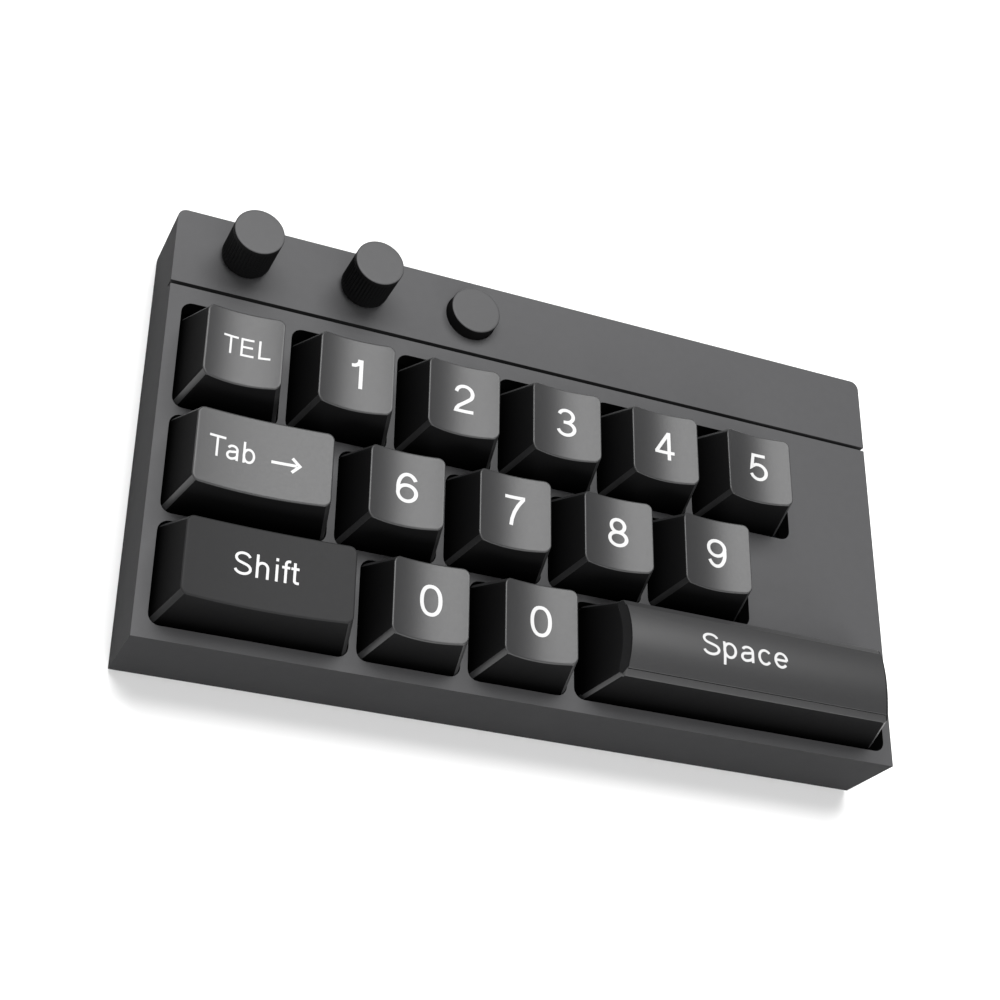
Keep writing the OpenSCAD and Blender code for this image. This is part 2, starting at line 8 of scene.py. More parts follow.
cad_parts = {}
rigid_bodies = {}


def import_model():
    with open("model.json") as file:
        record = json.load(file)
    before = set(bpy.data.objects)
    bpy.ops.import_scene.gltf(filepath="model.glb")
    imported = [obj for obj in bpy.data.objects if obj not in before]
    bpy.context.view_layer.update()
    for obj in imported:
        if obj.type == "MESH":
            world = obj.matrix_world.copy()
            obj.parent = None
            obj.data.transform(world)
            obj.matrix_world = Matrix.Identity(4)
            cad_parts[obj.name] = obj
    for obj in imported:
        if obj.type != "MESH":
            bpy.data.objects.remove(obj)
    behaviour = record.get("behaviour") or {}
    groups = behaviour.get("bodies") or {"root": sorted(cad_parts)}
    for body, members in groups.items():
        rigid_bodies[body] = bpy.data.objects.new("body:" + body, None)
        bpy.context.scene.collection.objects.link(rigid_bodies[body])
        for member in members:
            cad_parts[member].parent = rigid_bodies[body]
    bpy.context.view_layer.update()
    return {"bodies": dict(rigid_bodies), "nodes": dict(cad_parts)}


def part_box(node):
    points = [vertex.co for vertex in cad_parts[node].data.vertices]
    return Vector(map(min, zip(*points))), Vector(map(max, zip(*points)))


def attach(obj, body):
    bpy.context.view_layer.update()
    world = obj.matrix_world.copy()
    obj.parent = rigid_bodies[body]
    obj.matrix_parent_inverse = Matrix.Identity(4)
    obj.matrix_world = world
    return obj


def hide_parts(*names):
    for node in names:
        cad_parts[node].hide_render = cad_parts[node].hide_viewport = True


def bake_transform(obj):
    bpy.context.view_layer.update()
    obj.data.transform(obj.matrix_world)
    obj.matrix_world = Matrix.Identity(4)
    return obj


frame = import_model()

# Looks of the numeric keypad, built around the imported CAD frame. The frame is in metres;
# sizes below are in millimetres and go through MM.
MM = 0.001

# ---------------------------------------------------------------- camera, light and floor

CAMERA_AT = Vector((-116.8, -146.75, 266.8)) * MM
CAMERA_LOOKS_AT = Vector((-8.0, -3.3, 15.4)) * MM
CAMERA_ROLL_DEG = 43.75
CAMERA_LENS = 65.34
CAMERA_SENSOR = 36
FLOOR_SIZE = 6.0
WORLD_LIGHT = 0.14
# name: direction from the object, distance and size in metres, power in watts
LIGHTS = {
    "softbox": ((-0.06, 0.42, 0.90), 0.80, (0.80, 0.45), 10.5),
    "fill": ((-0.12, -0.50, 0.85), 1.30, (0.70, 0.70), 8.0),
    "front": ((0.40, -0.82, 0.42), 1.30, (0.80, 0.40), 8.0),
}


def link(obj):
    bpy.context.scene.collection.objects.link(obj)
    return obj


def aim(obj, at, target, roll_deg=0):
    """Puts obj at a point, looking along its own -Z at the target."""
    turn = (Vector(target) - Vector(at)).to_track_quat("-Z", "Y")
    obj.location = at
    obj.rotation_mode = "QUATERNION"
    obj.rotation_quaternion = turn @ Quaternion((0, 0, 1), math.radians(roll_deg))


def make_camera():
    data = bpy.data.cameras.new("camera")
    data.sensor_width = CAMERA_SENSOR
    data.lens = CAMERA_LENS
    data.clip_start = 0.01
    camera = link(bpy.data.objects.new("camera", data))
    aim(camera, CAMERA_AT, CAMERA_LOOKS_AT, CAMERA_ROLL_DEG)
    bpy.context.scene.camera = camera


def make_lights():
    for name, (direction, distance, size, power) in LIGHTS.items():
        data = bpy.data.lights.new(name, "AREA")
        data.shape = "RECTANGLE"
        data.size, data.size_y = size
        data.energy = power
        light = link(bpy.data.objects.new(name, data))
        aim(light, Vector(direction).normalized() * distance, (0, 0, 0))
    world = bpy.data.worlds.new("studio")
    world.use_nodes = True
    background = world.node_tree.nodes["Background"]
    background.inputs["Color"].default_value = (1, 1, 1, 1)
    background.inputs["Strength"].default_value = WORLD_LIGHT
    bpy.context.scene.world = world
    bpy.context.scene.view_settings.view_transform = "Standard"


# ---------------------------------------------------------------- materials

NOISE_LOW, NOISE_HIGH = 0.3, 0.7      # part of a noise's range that mottling and gloss spread over
MOTTLE_GRAINS = 14                    # size of the mottling, in grains
GLOSS_GRAINS = 5                      # size of the patches of uneven gloss, in grains
GLOSS_SPREAD = 0.015
RELIEF_DEPTH = 0.1                    # depth of the texture's bumps, in grains
FADE_FLOOR = 0.05                     # share of the colour left where a fade, a painted shade, is darkest


def surface(name, color, roughness, grain=0.25, bump=0.08, mottle=0.08, metallic=0.0,
            stretch=(1, 1, 1), specular=0.5, fade=None):
    """A moulded or metal surface: faint mottling, uneven gloss and a fine grain.
    grain is the size in mm of the texture's bumps; stretch draws the grain out into brush marks;
    fade is a pair of heights in mm between which the colour rises from nearly black: painted shade."""
    material = bpy.data.materials.new(name)
    material.use_nodes = True
    nodes, links = material.node_tree.nodes, material.node_tree.links
    shader = nodes["Principled BSDF"]
    shader.inputs["Metallic"].default_value = metallic
    shader.inputs["Specular IOR Level"].default_value = specular
    place = nodes.new("ShaderNodeTexCoord")
    mapping = nodes.new("ShaderNodeMapping")
    mapping.inputs["Scale"].default_value = stretch
    links.new(place.outputs["Object"], mapping.inputs["Vector"])

    def noise(size_mm, detail):
        node = nodes.new("ShaderNodeTexNoise")
        node.inputs["Scale"].default_value = 1 / (size_mm * MM)
        node.inputs["Detail"].default_value = detail
        links.new(mapping.outputs["Vector"], node.inputs["Vector"])
        return node.outputs["Fac"]

    ramp = nodes.new("ShaderNodeValToRGB")
    ramp.color_ramp.elements[0].position = NOISE_LOW
    ramp.color_ramp.elements[1].position = NOISE_HIGH
    ramp.color_ramp.elements[0].color = [c * (1 - mottle) for c in color] + [1]
    ramp.color_ramp.elements[1].color = [min(1, c * (1 + mottle)) for c in color] + [1]
    links.new(noise(MOTTLE_GRAINS * grain, 3), ramp.inputs["Fac"])
    paint = ramp.outputs["Color"]
    # A fade paints shade: the colour darkens towards the bottom
    if fade:
        height = nodes.new("ShaderNodeSeparateXYZ")
        links.new(place.outputs["Object"], height.inputs["Vector"])
        rise = nodes.new("ShaderNodeMapRange")
        rise.inputs["From Min"].default_value = fade[0] * MM
        rise.inputs["From Max"].default_value = fade[1] * MM
        rise.inputs["To Min"].default_value = FADE_FLOOR
        links.new(height.outputs["Z"], rise.inputs["Value"])
        dim = nodes.new("ShaderNodeVectorMath")
        dim.operation = "SCALE"
        links.new(paint, dim.inputs["Vector"])
        links.new(rise.outputs["Result"], dim.inputs["Scale"])
        paint = dim.outputs["Vector"]
    links.new(paint, shader.inputs["Base Color"])

    gloss = nodes.new("ShaderNodeMapRange")
    gloss.inputs["From Min"].default_value = NOISE_LOW
    gloss.inputs["From Max"].default_value = NOISE_HIGH
    gloss.inputs["To Min"].default_value = roughness - GLOSS_SPREAD
    gloss.inputs["To Max"].default_value = roughness + GLOSS_SPREAD
    links.new(noise(GLOSS_GRAINS * grain, 2), gloss.inputs["Value"])
    links.new(gloss.outputs["Result"], shader.inputs["Roughness"])

    relief = nodes.new("ShaderNodeBump")
    relief.inputs["Strength"].default_value = bump
    relief.inputs["Distance"].default_value = RELIEF_DEPTH * grain * MM
    links.new(noise(grain, 2), relief.inputs["Height"])
    links.new(relief.outputs["Normal"], shader.inputs["Normal"])
    return material


def grey(value, tint=1.03):
    """A dark neutral grey that leans very slightly to blue."""
    return (value, value, value * tint)


FINISHES = {
    "case_plastic": surface("case_plastic", grey(0.060), 0.50,
                            grain=0.12, bump=0.05, mottle=0.02, specular=0.15),
    "keycap_plastic": surface("keycap_plastic", grey(0.022), 0.42,
                              grain=0.10, bump=0.04, mottle=0.02, specular=0.46),
    "knob_plastic": surface("knob_plastic", grey(0.045), 0.46,
                            grain=0.10, bump=0.04, mottle=0.02, specular=0.26),
    "base_plastic": surface("base_plastic", grey(0.035), 0.55, grain=0.50, bump=0.20),
    "rubber": surface("rubber", grey(0.020), 0.80, grain=0.30, bump=0.25),
    "screw_steel": surface("screw_steel", grey(0.55), 0.32, grain=0.15, metallic=1.0),
    "plate_metal": surface("plate_metal", grey(0.014), 0.55, grain=0.40, bump=0.25, specular=0.2),
    "board": surface("board", (0.003, 0.016, 0.008), 0.40,
                     grain=0.9, bump=0.15, mottle=0.35, specular=0.3),
    "switch_black": surface("switch_black", grey(0.012), 0.55, grain=0.30, specular=0.3),
    "spring_steel": surface("spring_steel", (0.65, 0.58, 0.40), 0.25, grain=0.10, metallic=1.0),
    "insert_white": surface("insert_white", (0.70, 0.70, 0.67), 0.40, grain=0.30),
    "wire_steel": surface("wire_steel", grey(0.60), 0.25,
                          grain=0.10, metallic=1.0, stretch=(0.05, 1, 1)),
    "shell_metal": surface("shell_metal", grey(0.55), 0.28,
                           grain=0.20, metallic=1.0, stretch=(1, 0.1, 1)),
    "battery_foil": surface("battery_foil", (0.010, 0.011, 0.014), 0.45,
                            grain=0.80, bump=0.4, specular=0.2),
    "lead_insulation": surface("lead_insulation", (0.30, 0.015, 0.015), 0.45, grain=0.20),
    "chip": surface("chip", grey(0.015), 0.45, grain=0.20, bump=0.2),
}
# The sides of the same mouldings, with a matt texture that takes the gloss off and a darker colour that
# is painted shade
MATT_SHADED_SIDES = {
    "case_plastic": surface("case_side_shaded", grey(0.030), 0.75,
                            grain=0.30, bump=0.25, mottle=0.03, specular=0.05),
    # painted shade: the keycaps' sides darken towards the bottom, to near black at 16 mm
    "keycap_plastic": surface("keycap_side", grey(0.011), 0.70, grain=0.20, bump=0.20,
                              mottle=0.03, specular=0.015, fade=(16.0, 25.0)),
    "knob_plastic": surface("knob_side_shaded", grey(0.007), 0.70,
                            grain=0.20, bump=0.20, mottle=0.03, specular=0.05),
}
# Painted shade: a near-black finish for the walls of the key windows
WELL_SHADE = surface("well_shade", grey(0.004), 0.80, grain=0.20, bump=0.10, specular=0.05)
DULL_CAP = surface("keycap_dull", grey(0.017), 0.50,
                   grain=0.10, bump=0.04, mottle=0.02, specular=0.10)
LEGEND_INK = surface("legend_ink", (0.46, 0.46, 0.46), 0.45, grain=0.20, bump=0.05, mottle=0.02)
BLACK_LEAD = surface("black_lead", grey(0.015), 0.45, grain=0.20)
FLOOR = surface("floor", (0.90, 0.90, 0.90), 0.85, grain=30, bump=0.0, mottle=0.01, specular=0.1)


# ---------------------------------------------------------------- mesh helpers

STEEP = 0.5               # a face is upright where its normal rises less than this
FLANK_TURN = 0.3          # a flank's normal turns away from its axis less than this
END_LEAN, END_TURN = 0.25, 0.45
WELD_GAP = 0.002
FLAT_DEG = 1
SHARP_DEG = 40


def upright(normal):
    return abs(normal.z) < STEEP


def upright_flank(normal):
    """Upright, but not on a rounded corner, which keeps the top's glossy, lighter finish instead of the
    painted side shade.
    """
    return upright(normal) and (abs(normal.x) < FLANK_TURN or abs(normal.y) < FLANK_TURN)


def flank_or_end(normal):
    """As above, and the bands at the two ends of the Space key, which also take the painted side shade.
    """
    return upright_flank(normal) or (abs(normal.x) > END_LEAN and abs(normal.y) < END_TURN)


def add_piece(name, bm, slot, body="root", stands_for=(), sharp_deg=35, material=None,
              matt=upright):
    """A finished piece from bm: shaded smooth up to sharp_deg, riding on its CAD body. Where the
    slot has a side finish, faces that matt picks take it: rougher, and darker by painted shade."""
    bmesh.ops.recalc_face_normals(bm, faces=bm.faces)
    if slot in MATT_SHADED_SIDES:
        for face in bm.faces:
            face.material_index = 1 if matt(face.normal) else 0
    mesh = bpy.data.meshes.new(name)
    bm.to_mesh(mesh)
    bm.free()
    mesh.shade_smooth()
    mesh.set_sharp_from_angle(angle=math.radians(sharp_deg))
    mesh.materials.append(material or FINISHES[slot])
    if slot in MATT_SHADED_SIDES:
        mesh.materials.append(MATT_SHADED_SIDES[slot])
    piece = link(bpy.data.objects.new(name, mesh))
    weighted = piece.modifiers.new("normals", "WEIGHTED_NORMAL")
    weighted.keep_sharp = True
    if body:
        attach(piece, body)
    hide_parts(*stands_for)
    return piece


def soften(name, node, edge, slot, body="root", segments=2):
    """A piece with the exact shape of a CAD node and small rounds of size edge on its sharp edges."""
    bm = bmesh.new()
    bm.from_mesh(frame["nodes"][node].data)
    bmesh.ops.remove_doubles(bm, verts=bm.verts, dist=WELD_GAP * MM)
    bmesh.ops.dissolve_limit(bm, angle_limit=math.radians(FLAT_DEG), verts=bm.verts, edges=bm.edges)
    limit = math.radians(SHARP_DEG)
    sharp = [e for e in bm.edges if e.is_manifold and e.calc_face_angle(0) > limit]
    bmesh.ops.bevel(bm, geom=sharp, offset=edge * MM, offset_type="OFFSET", segments=segments,
                    profile=0.5, affect="EDGES", clamp_overlap=True)
    return add_piece(name, bm, slot, body, [node])


def blacken_wells(case):
    """Paints the walls of the key windows near black, a painted shade, as they lie in deep shade."""
    low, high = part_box("upper_case")
    case.data.materials.append(WELL_SHADE)
    for face in case.data.polygons:
        inside = all(low[i] + MM < face.center[i] < high[i] - MM for i in (0, 1))
        if inside and face.normal.z < STEEP:
            face.material_index = len(case.data.materials) - 1


def loft(bm, rings, start=None, end=None):
    """Skins closed rings of equal length in order; start and end are points that close the ends."""
    rows = [[bm.verts.new(p) for p in ring] for ring in rings]
    for low, high in zip(rows, rows[1:]):
        for i in range(len(low)):
            j = (i + 1) % len(low)
            bm.faces.new((low[i], low[j], high[j], high[i]))
    for point, row in ((start, rows[0]), (end, rows[-1])):
        if point is not None:
            tip = bm.verts.new(point)
            for i in range(len(row)):
                bm.faces.new((row[i], row[(i + 1) % len(row)], tip))


def turned(bm, centre, profile, steps=96, ripple=None):
    """A closed turned solid round a vertical axis. profile is (radius, height) in metres from the
    bottom of the axis round to its top; ripple(angle, row) gives a radius to add."""
    rings = []
    for row, (radius, z) in enumerate(profile):
        ring = []
        for i in range(steps):
            a = 2 * math.pi * i / steps
            r = radius + (ripple(a, row) if ripple else 0)
            ring.append(Vector((centre[0] + r * math.cos(a), centre[1] + r * math.sin(a), z)))
        rings.append(ring)
    ends = [Vector((centre[0], centre[1], profile[row][1])) for row in (0, -1)]
    loft(bm, rings, *ends)


def round_off(radius, height, fillet, steps=5):
    """Profile points of a rounded outer top edge that ends at (radius - fillet, height)."""
    return [(radius - fillet * (1 - math.cos(a)), height - fillet * (1 - math.sin(a)))
            for a in (math.pi / 2 * i / steps for i in range(steps + 1))]


def tube(bm, path, radius, sides=10):
    """A closed round tube along a path of points."""
    rings = []
    side = None
    for i, point in enumerate(path):
        along = (path[min(i + 1, len(path) - 1)] - path[max(i - 1, 0)]).normalized()
        side = (along.orthogonal() if side is None else side - along * side.dot(along)).normalized()
        other = along.cross(side)
        rings.append([point + (side * math.cos(a) + other * math.sin(a)) * radius
                      for a in (2 * math.pi * k / sides for k in range(sides))])
    loft(bm, rings, path[0], path[-1])


def bend(corner, before, after, radius, steps=6):
    """Points round a corner between two directions that point away from it."""
    u, v = Vector(before).normalized(), Vector(after).normalized()
    half = u.angle(v) / 2
    centre = corner + (u + v).normalized() * radius / math.sin(half)
    first = corner + u * radius / math.tan(half) - centre
    last = corner + v * radius / math.tan(half) - centre
    return [centre + first.slerp(last, i / steps) for i in range(steps + 1)]


# ---------------------------------------------------------------- keycaps

SKIRT_LIFT = 0.75         # height of the skirt's edge above the end of the cap's post
SKIRT_H = 2.95            # height of the straight skirt
CAP_INSET_W = 4.55        # how much narrower a typing key is at its top
SPACE_TOP_W = 51.4
CAP_TOP_D = 13.06
TOP_SHIFT = -0.5          # the tops sit forward of the skirts
CAP_CORNER = 1.3
CAP_WALL = 1.3
TOP_THICKNESS = 1.6
CROWN = 1.5
DISH_UNIT, DISH_WIDE = 1.2, 1.0       # depth of the dish in a one-unit and in a wide key
UNIT_W_BELOW = 20                     # keys narrower than this are one unit wide
CAP_FILLET, CROWN_FILLET = 0.32, 1.15
FILLET_STEPS = 4
RIM = 0.15                            # chamfer round the skirt's lower edge
HOLLOW_CORNER = 0.6
HOLLOW_NARROWER = 2.2                 # how much narrower the hollow is than the top
ROOF_DROP = 1.2                       # depth kept free above the roof for the dish
# Where rings lie: up the sides, and over the top from its edge to its middle
SIDE_SHARES = (0.03, 0.3, 0.6, 0.88, 0.97, 1)
TOP_SHARES = (0.985, 0.95, 0.88, 0.8, 0.7, 0.6, 0.5, 0.4, 0.3, 0.2, 0.1)
CORNER_STEPS = 8
SIDE_STEPS = 14
INK_LIFT = 0.012          # how far the lettering stands above a cap

# Edge of the Space key's crown: shares of the fillet inwards, and below the top at the front and
# at the ends. A band between two small steps runs along the front, a chamfer along the ends.
CROWN_EDGE = [
    (0, 1, 1), (0.02, 0.52, 0.97), (0.10, 0.40, 0.92), (0.88, 0.28, 0.20),
    (0.92, 0.24, 0.12), (0.96, 0.03, 0.03), (1, 0, 0),
]


class Cap:
    """Shape of one keycap: a tapered block with a dished top, or with a crowned top for Space."""

    def __init__(self, key):
        self.key = key
        low, high = (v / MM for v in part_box("cap_" + key))
        self.crowned = key == "space"
        self.x, self.y = (low.x + high.x) / 2, (low.y + high.y) / 2
        self.w, self.d = high.x - low.x, high.y - low.y
        self.post_z, self.bottom = low.z, low.z + SKIRT_LIFT
        self.shoulder = self.bottom + SKIRT_H
        self.top = high.z - (CROWN + INK_LIFT if self.crowned else 0)
        self.top_w = SPACE_TOP_W if self.crowned else self.w - CAP_INSET_W
        dish = DISH_UNIT if self.w < UNIT_W_BELOW else DISH_WIDE
        self.sag = -CROWN if self.crowned else dish
        self.half = (CAP_TOP_D if self.crowned else self.top_w) / 2
        self.curve_r = (self.half ** 2 + self.sag ** 2) / (2 * abs(self.sag))

    def surface_z(self, x, y):
        """Height of the top over a point given from the key's centre."""
        across = y - TOP_SHIFT if self.crowned else x
        across = max(-self.half, min(self.half, across))
        rise = self.curve_r - math.sqrt(self.curve_r ** 2 - across ** 2)
        return self.top + CROWN - rise if self.crowned else self.top - self.sag + rise

    def ring(self, w, d, corner, y_shift):
        """(x, y, outward x, outward y) round a rectangle with rounded corners."""
        points = []
        for q, (sx, sy) in enumerate(((1, 1), (-1, 1), (-1, -1), (1, -1))):
            cx, cy = sx * (w / 2 - corner), sy * (d / 2 - corner) + y_shift
            for i in range(CORNER_STEPS + 1):
                a = math.pi / 2 * (q + i / CORNER_STEPS)
                n = (math.cos(a), math.sin(a))
                points.append((cx + corner * n[0], cy + corner * n[1], *n))
            nx, ny, _, _ = points[-1]
            sx, sy = ((-1, 1), (-1, -1), (1, -1), (1, 1))[q]
            end_a = math.pi / 2 * (q + 1)
            n = (math.cos(end_a), math.sin(end_a))
            ex = sx * (w / 2 - corner) + corner * n[0]
            ey = sy * (d / 2 - corner) + y_shift + corner * n[1]
            for i in range(1, SIDE_STEPS):
                t = i / SIDE_STEPS
                points.append((nx + (ex - nx) * t, ny + (ey - ny) * t, *n))
        return points

    def place(self, x, y, z):
        return Vector((self.x + x, self.y + y, z)) * MM

    def rings(self):
        """The whole skin, from the middle of the hollow's roof out, down, round the rim, up the
        sides and over the top."""
        base = self.ring(self.w, self.d, CAP_CORNER, 0)
        crest = self.ring(self.top_w, CAP_TOP_D, CAP_CORNER, TOP_SHIFT)
        fillet = CROWN_FILLET if self.crowned else CAP_FILLET
        if self.crowned:
            edge = CROWN_EDGE
        else:
            angles = [math.pi / 2 / FILLET_STEPS * i for i in range(FILLET_STEPS + 1)]
            edge = [(1 - math.cos(a), 1 - math.sin(a), 1 - math.sin(a)) for a in angles]

        def side(share, drop):
            """Points on the sides at a share of the way from the shoulder to just under the top."""
            out = []
            for (bx, by, nx, ny), (tx, ty, _, _) in zip(base, crest):
                z = self.shoulder + (self.surface_z(tx, ty) - drop - self.shoulder) * share
                t = (z - self.shoulder) / (self.top - self.shoulder)
                out.append((bx + (tx - bx) * t, by + (ty - by) * t, z, nx, ny))
            return out

        def flat(points, z, inset=0.0):
            return [self.place(x - nx * inset, y - ny * inset, z) for x, y, nx, ny in points]

        inner_base = self.ring(self.w - 2 * CAP_WALL, self.d - 2 * CAP_WALL, HOLLOW_CORNER, 0)
        inner_top = self.ring(self.top_w - HOLLOW_NARROWER, CAP_TOP_D - 2 * CAP_WALL,
                              HOLLOW_CORNER, TOP_SHIFT)
        roof = self.top - ROOF_DROP - TOP_THICKNESS
        rings = [flat(inner_top, roof), flat(inner_base, self.shoulder)]
        rings += [flat(inner_base, self.bottom), flat(base, self.bottom, RIM)]
        rings += [flat(base, self.bottom + RIM), flat(base, self.shoulder)]
        for share in SIDE_SHARES:
            rings.append([self.place(x, y, z) for x, y, z, _, _ in side(share, fillet)])
        tangent = side(1, fillet)
        for inward, below, below_end in edge[1:]:
            ring = []
            for x, y, z, nx, ny in tangent:
                px, py = x - nx * fillet * inward, y - ny * fillet * inward
                drop = fillet * (below + (below_end - below) * nx * nx)
                ring.append(self.place(px, py, self.surface_z(px, py) - drop))
            rings.append(ring)
        inner = [(x - nx * fillet, y - ny * fillet) for x, y, _, nx, ny in tangent]
        for share in TOP_SHARES:
            ring = []
            for x, y in inner:
                px, py = x * share, TOP_SHIFT + (y - TOP_SHIFT) * share
                ring.append(self.place(px, py, self.surface_z(px, py)))
            rings.append(ring)
        peak = self.place(0, TOP_SHIFT, self.surface_z(0, TOP_SHIFT))
        return rings, self.place(0, TOP_SHIFT, roof), peak


CROSS_T = 1.2
CROSS_FIT = 0.06
SOCKET_DEPTH = 3.65
POST_ROOF = 2.6           # how far under the cap's top a post ends
# radius of the post, length of the cross's arms
STEM_POST = (2.75, 4)
SPACE_POST = (2, 3)
SPACE_POST_X = 19.05


def add_post(bm, cap, dx, radius, arm):
    """Post under a cap with a cross-shaped socket, joined under the cap's roof."""
    a, t = (arm + CROSS_FIT) / 2, (CROSS_T + CROSS_FIT) / 2
    quarter = [(a, -t), (a, t), (t, t)]
    cross = []
    for _ in range(4):
        cross += quarter
        quarter = [(-y, x) for x, y in quarter]
    outer = [(radius * math.cos(w), radius * math.sin(w))
             for w in (math.atan2(y, x) for x, y in cross)]

    def level(points, z):
        return [cap.place(dx + x, y, z) for x, y in points]

    socket_z, roof = cap.post_z + SOCKET_DEPTH, cap.top - POST_ROOF
    levels = [level(cross, socket_z), level(cross, cap.post_z)]
    levels += [level(outer, cap.post_z), level(outer, roof)]
    loft(bm, levels, cap.place(dx, 0, socket_z), cap.place(dx, 0, roof))


def make_cap(key):
    cap = Cap(key)
    bm = bmesh.new()
    rings, start, end = cap.rings()
    loft(bm, rings, start, end)
    add_post(bm, cap, 0, *STEM_POST)
    if cap.crowned:
        for side in (-1, 1):
            add_post(bm, cap, side * SPACE_POST_X, *SPACE_POST)
    add_piece("keycap_" + key, bm, "keycap_plastic", "key_" + key, ["cap_" + key],
              material=DULL_CAP if key == "shift" else None,
              matt=flank_or_end if cap.crowned else upright_flank)
    return cap


# ---------------------------------------------------------------- legends

INK_DEPTH = 0.05
INK_SLICE = 0.35
DIGIT_HEIGHT = 5.5
DIGIT_WIDEN = 1.07
DIGIT_CENTRE = (0.3, -0.15)
SHARPEST = 0.35           # keeps the corner of a stroke from running out to a long point
SAME_POINT = 1e-6
# key: text, height of its capitals, width (None keeps the font's own), centre from the key's centre
LEGENDS = {
    "tel": ("TEL", 3.4, 7.8, (0.55, -0.15)),
    "tab": ("Tab", 3.7, 7.6, (-5.15, -0.15)),
    "shift": ("Shift", 3.9, 10.3, (-0.45, 0.0)),
    "space": ("Space", 4.1, 16.3, (-3.15, 0.4)),
}
ARROW = {"key": "tab", "centre": (3.6, -0.75), "length": 4.6, "head": 1.25, "stroke": 0.5}


def drape(bm, cap):
    """Slices flat ink so that it can bend, and lays it on the cap's top as a thin closed layer."""
    axis = Vector((0, 1, 0)) if cap.crowned else Vector((1, 0, 0))
    reach = [v.co.dot(axis) for v in bm.verts]
    at = min(reach) + INK_SLICE
    while at < max(reach):
        bmesh.ops.bisect_plane(bm, geom=bm.verts[:] + bm.edges[:] + bm.faces[:],
                               plane_co=axis * at, plane_no=axis)
        at += INK_SLICE
    for v in bm.verts:
        v.co = cap.place(v.co.x, v.co.y, cap.surface_z(v.co.x, v.co.y) + INK_LIFT)
    bmesh.ops.recalc_face_normals(bm, faces=bm.faces)
    if sum(f.normal.z for f in bm.faces) < 0:
        bmesh.ops.reverse_faces(bm, faces=bm.faces)
    base = bm.faces[:]
    grown = bmesh.ops.extrude_face_region(bm, geom=base, use_keep_orig=True)
    for v in grown["geom"]:
        if isinstance(v, bmesh.types.BMVert):
            v.co.z -= INK_DEPTH * MM


def arc(x, y, rx, ry, start_deg, end_deg, steps=16, squareness=2.0):
    """Points along part of an ellipse; above 2, squareness fills out its corners."""
    points = []
    for i in range(steps + 1):
        a = math.radians(start_deg + (end_deg - start_deg) * i / steps)
        c, s = math.cos(a), math.sin(a)
        points.append((x + rx * math.copysign(abs(c) ** (2 / squareness), c),
                       y + ry * math.copysign(abs(s) ** (2 / squareness), s)))
    return points


def loop(x, y, rx, ry, squareness=2.0):
    """A closed ellipse: its last point is its first."""
    return arc(x, y, rx, ry, 0, 360, 40, squareness)


STROKE = 0.110            # stroke width as a share of the capitals' height
# Heights of strokes: on the base line, the middle of a small letter, its top, that of a capital
LOW, MID, X_TOP, HIGH = 0.06, 0.355, 0.665, 0.94
SIX = [loop(0.335, 0.32, 0.265, 0.262), [(0.072, 0.34)] + arc(0.347, 0.5, 0.275, 0.44, 180, 33)]
BOWL = loop(0.33, MID, 0.24, 0.305)
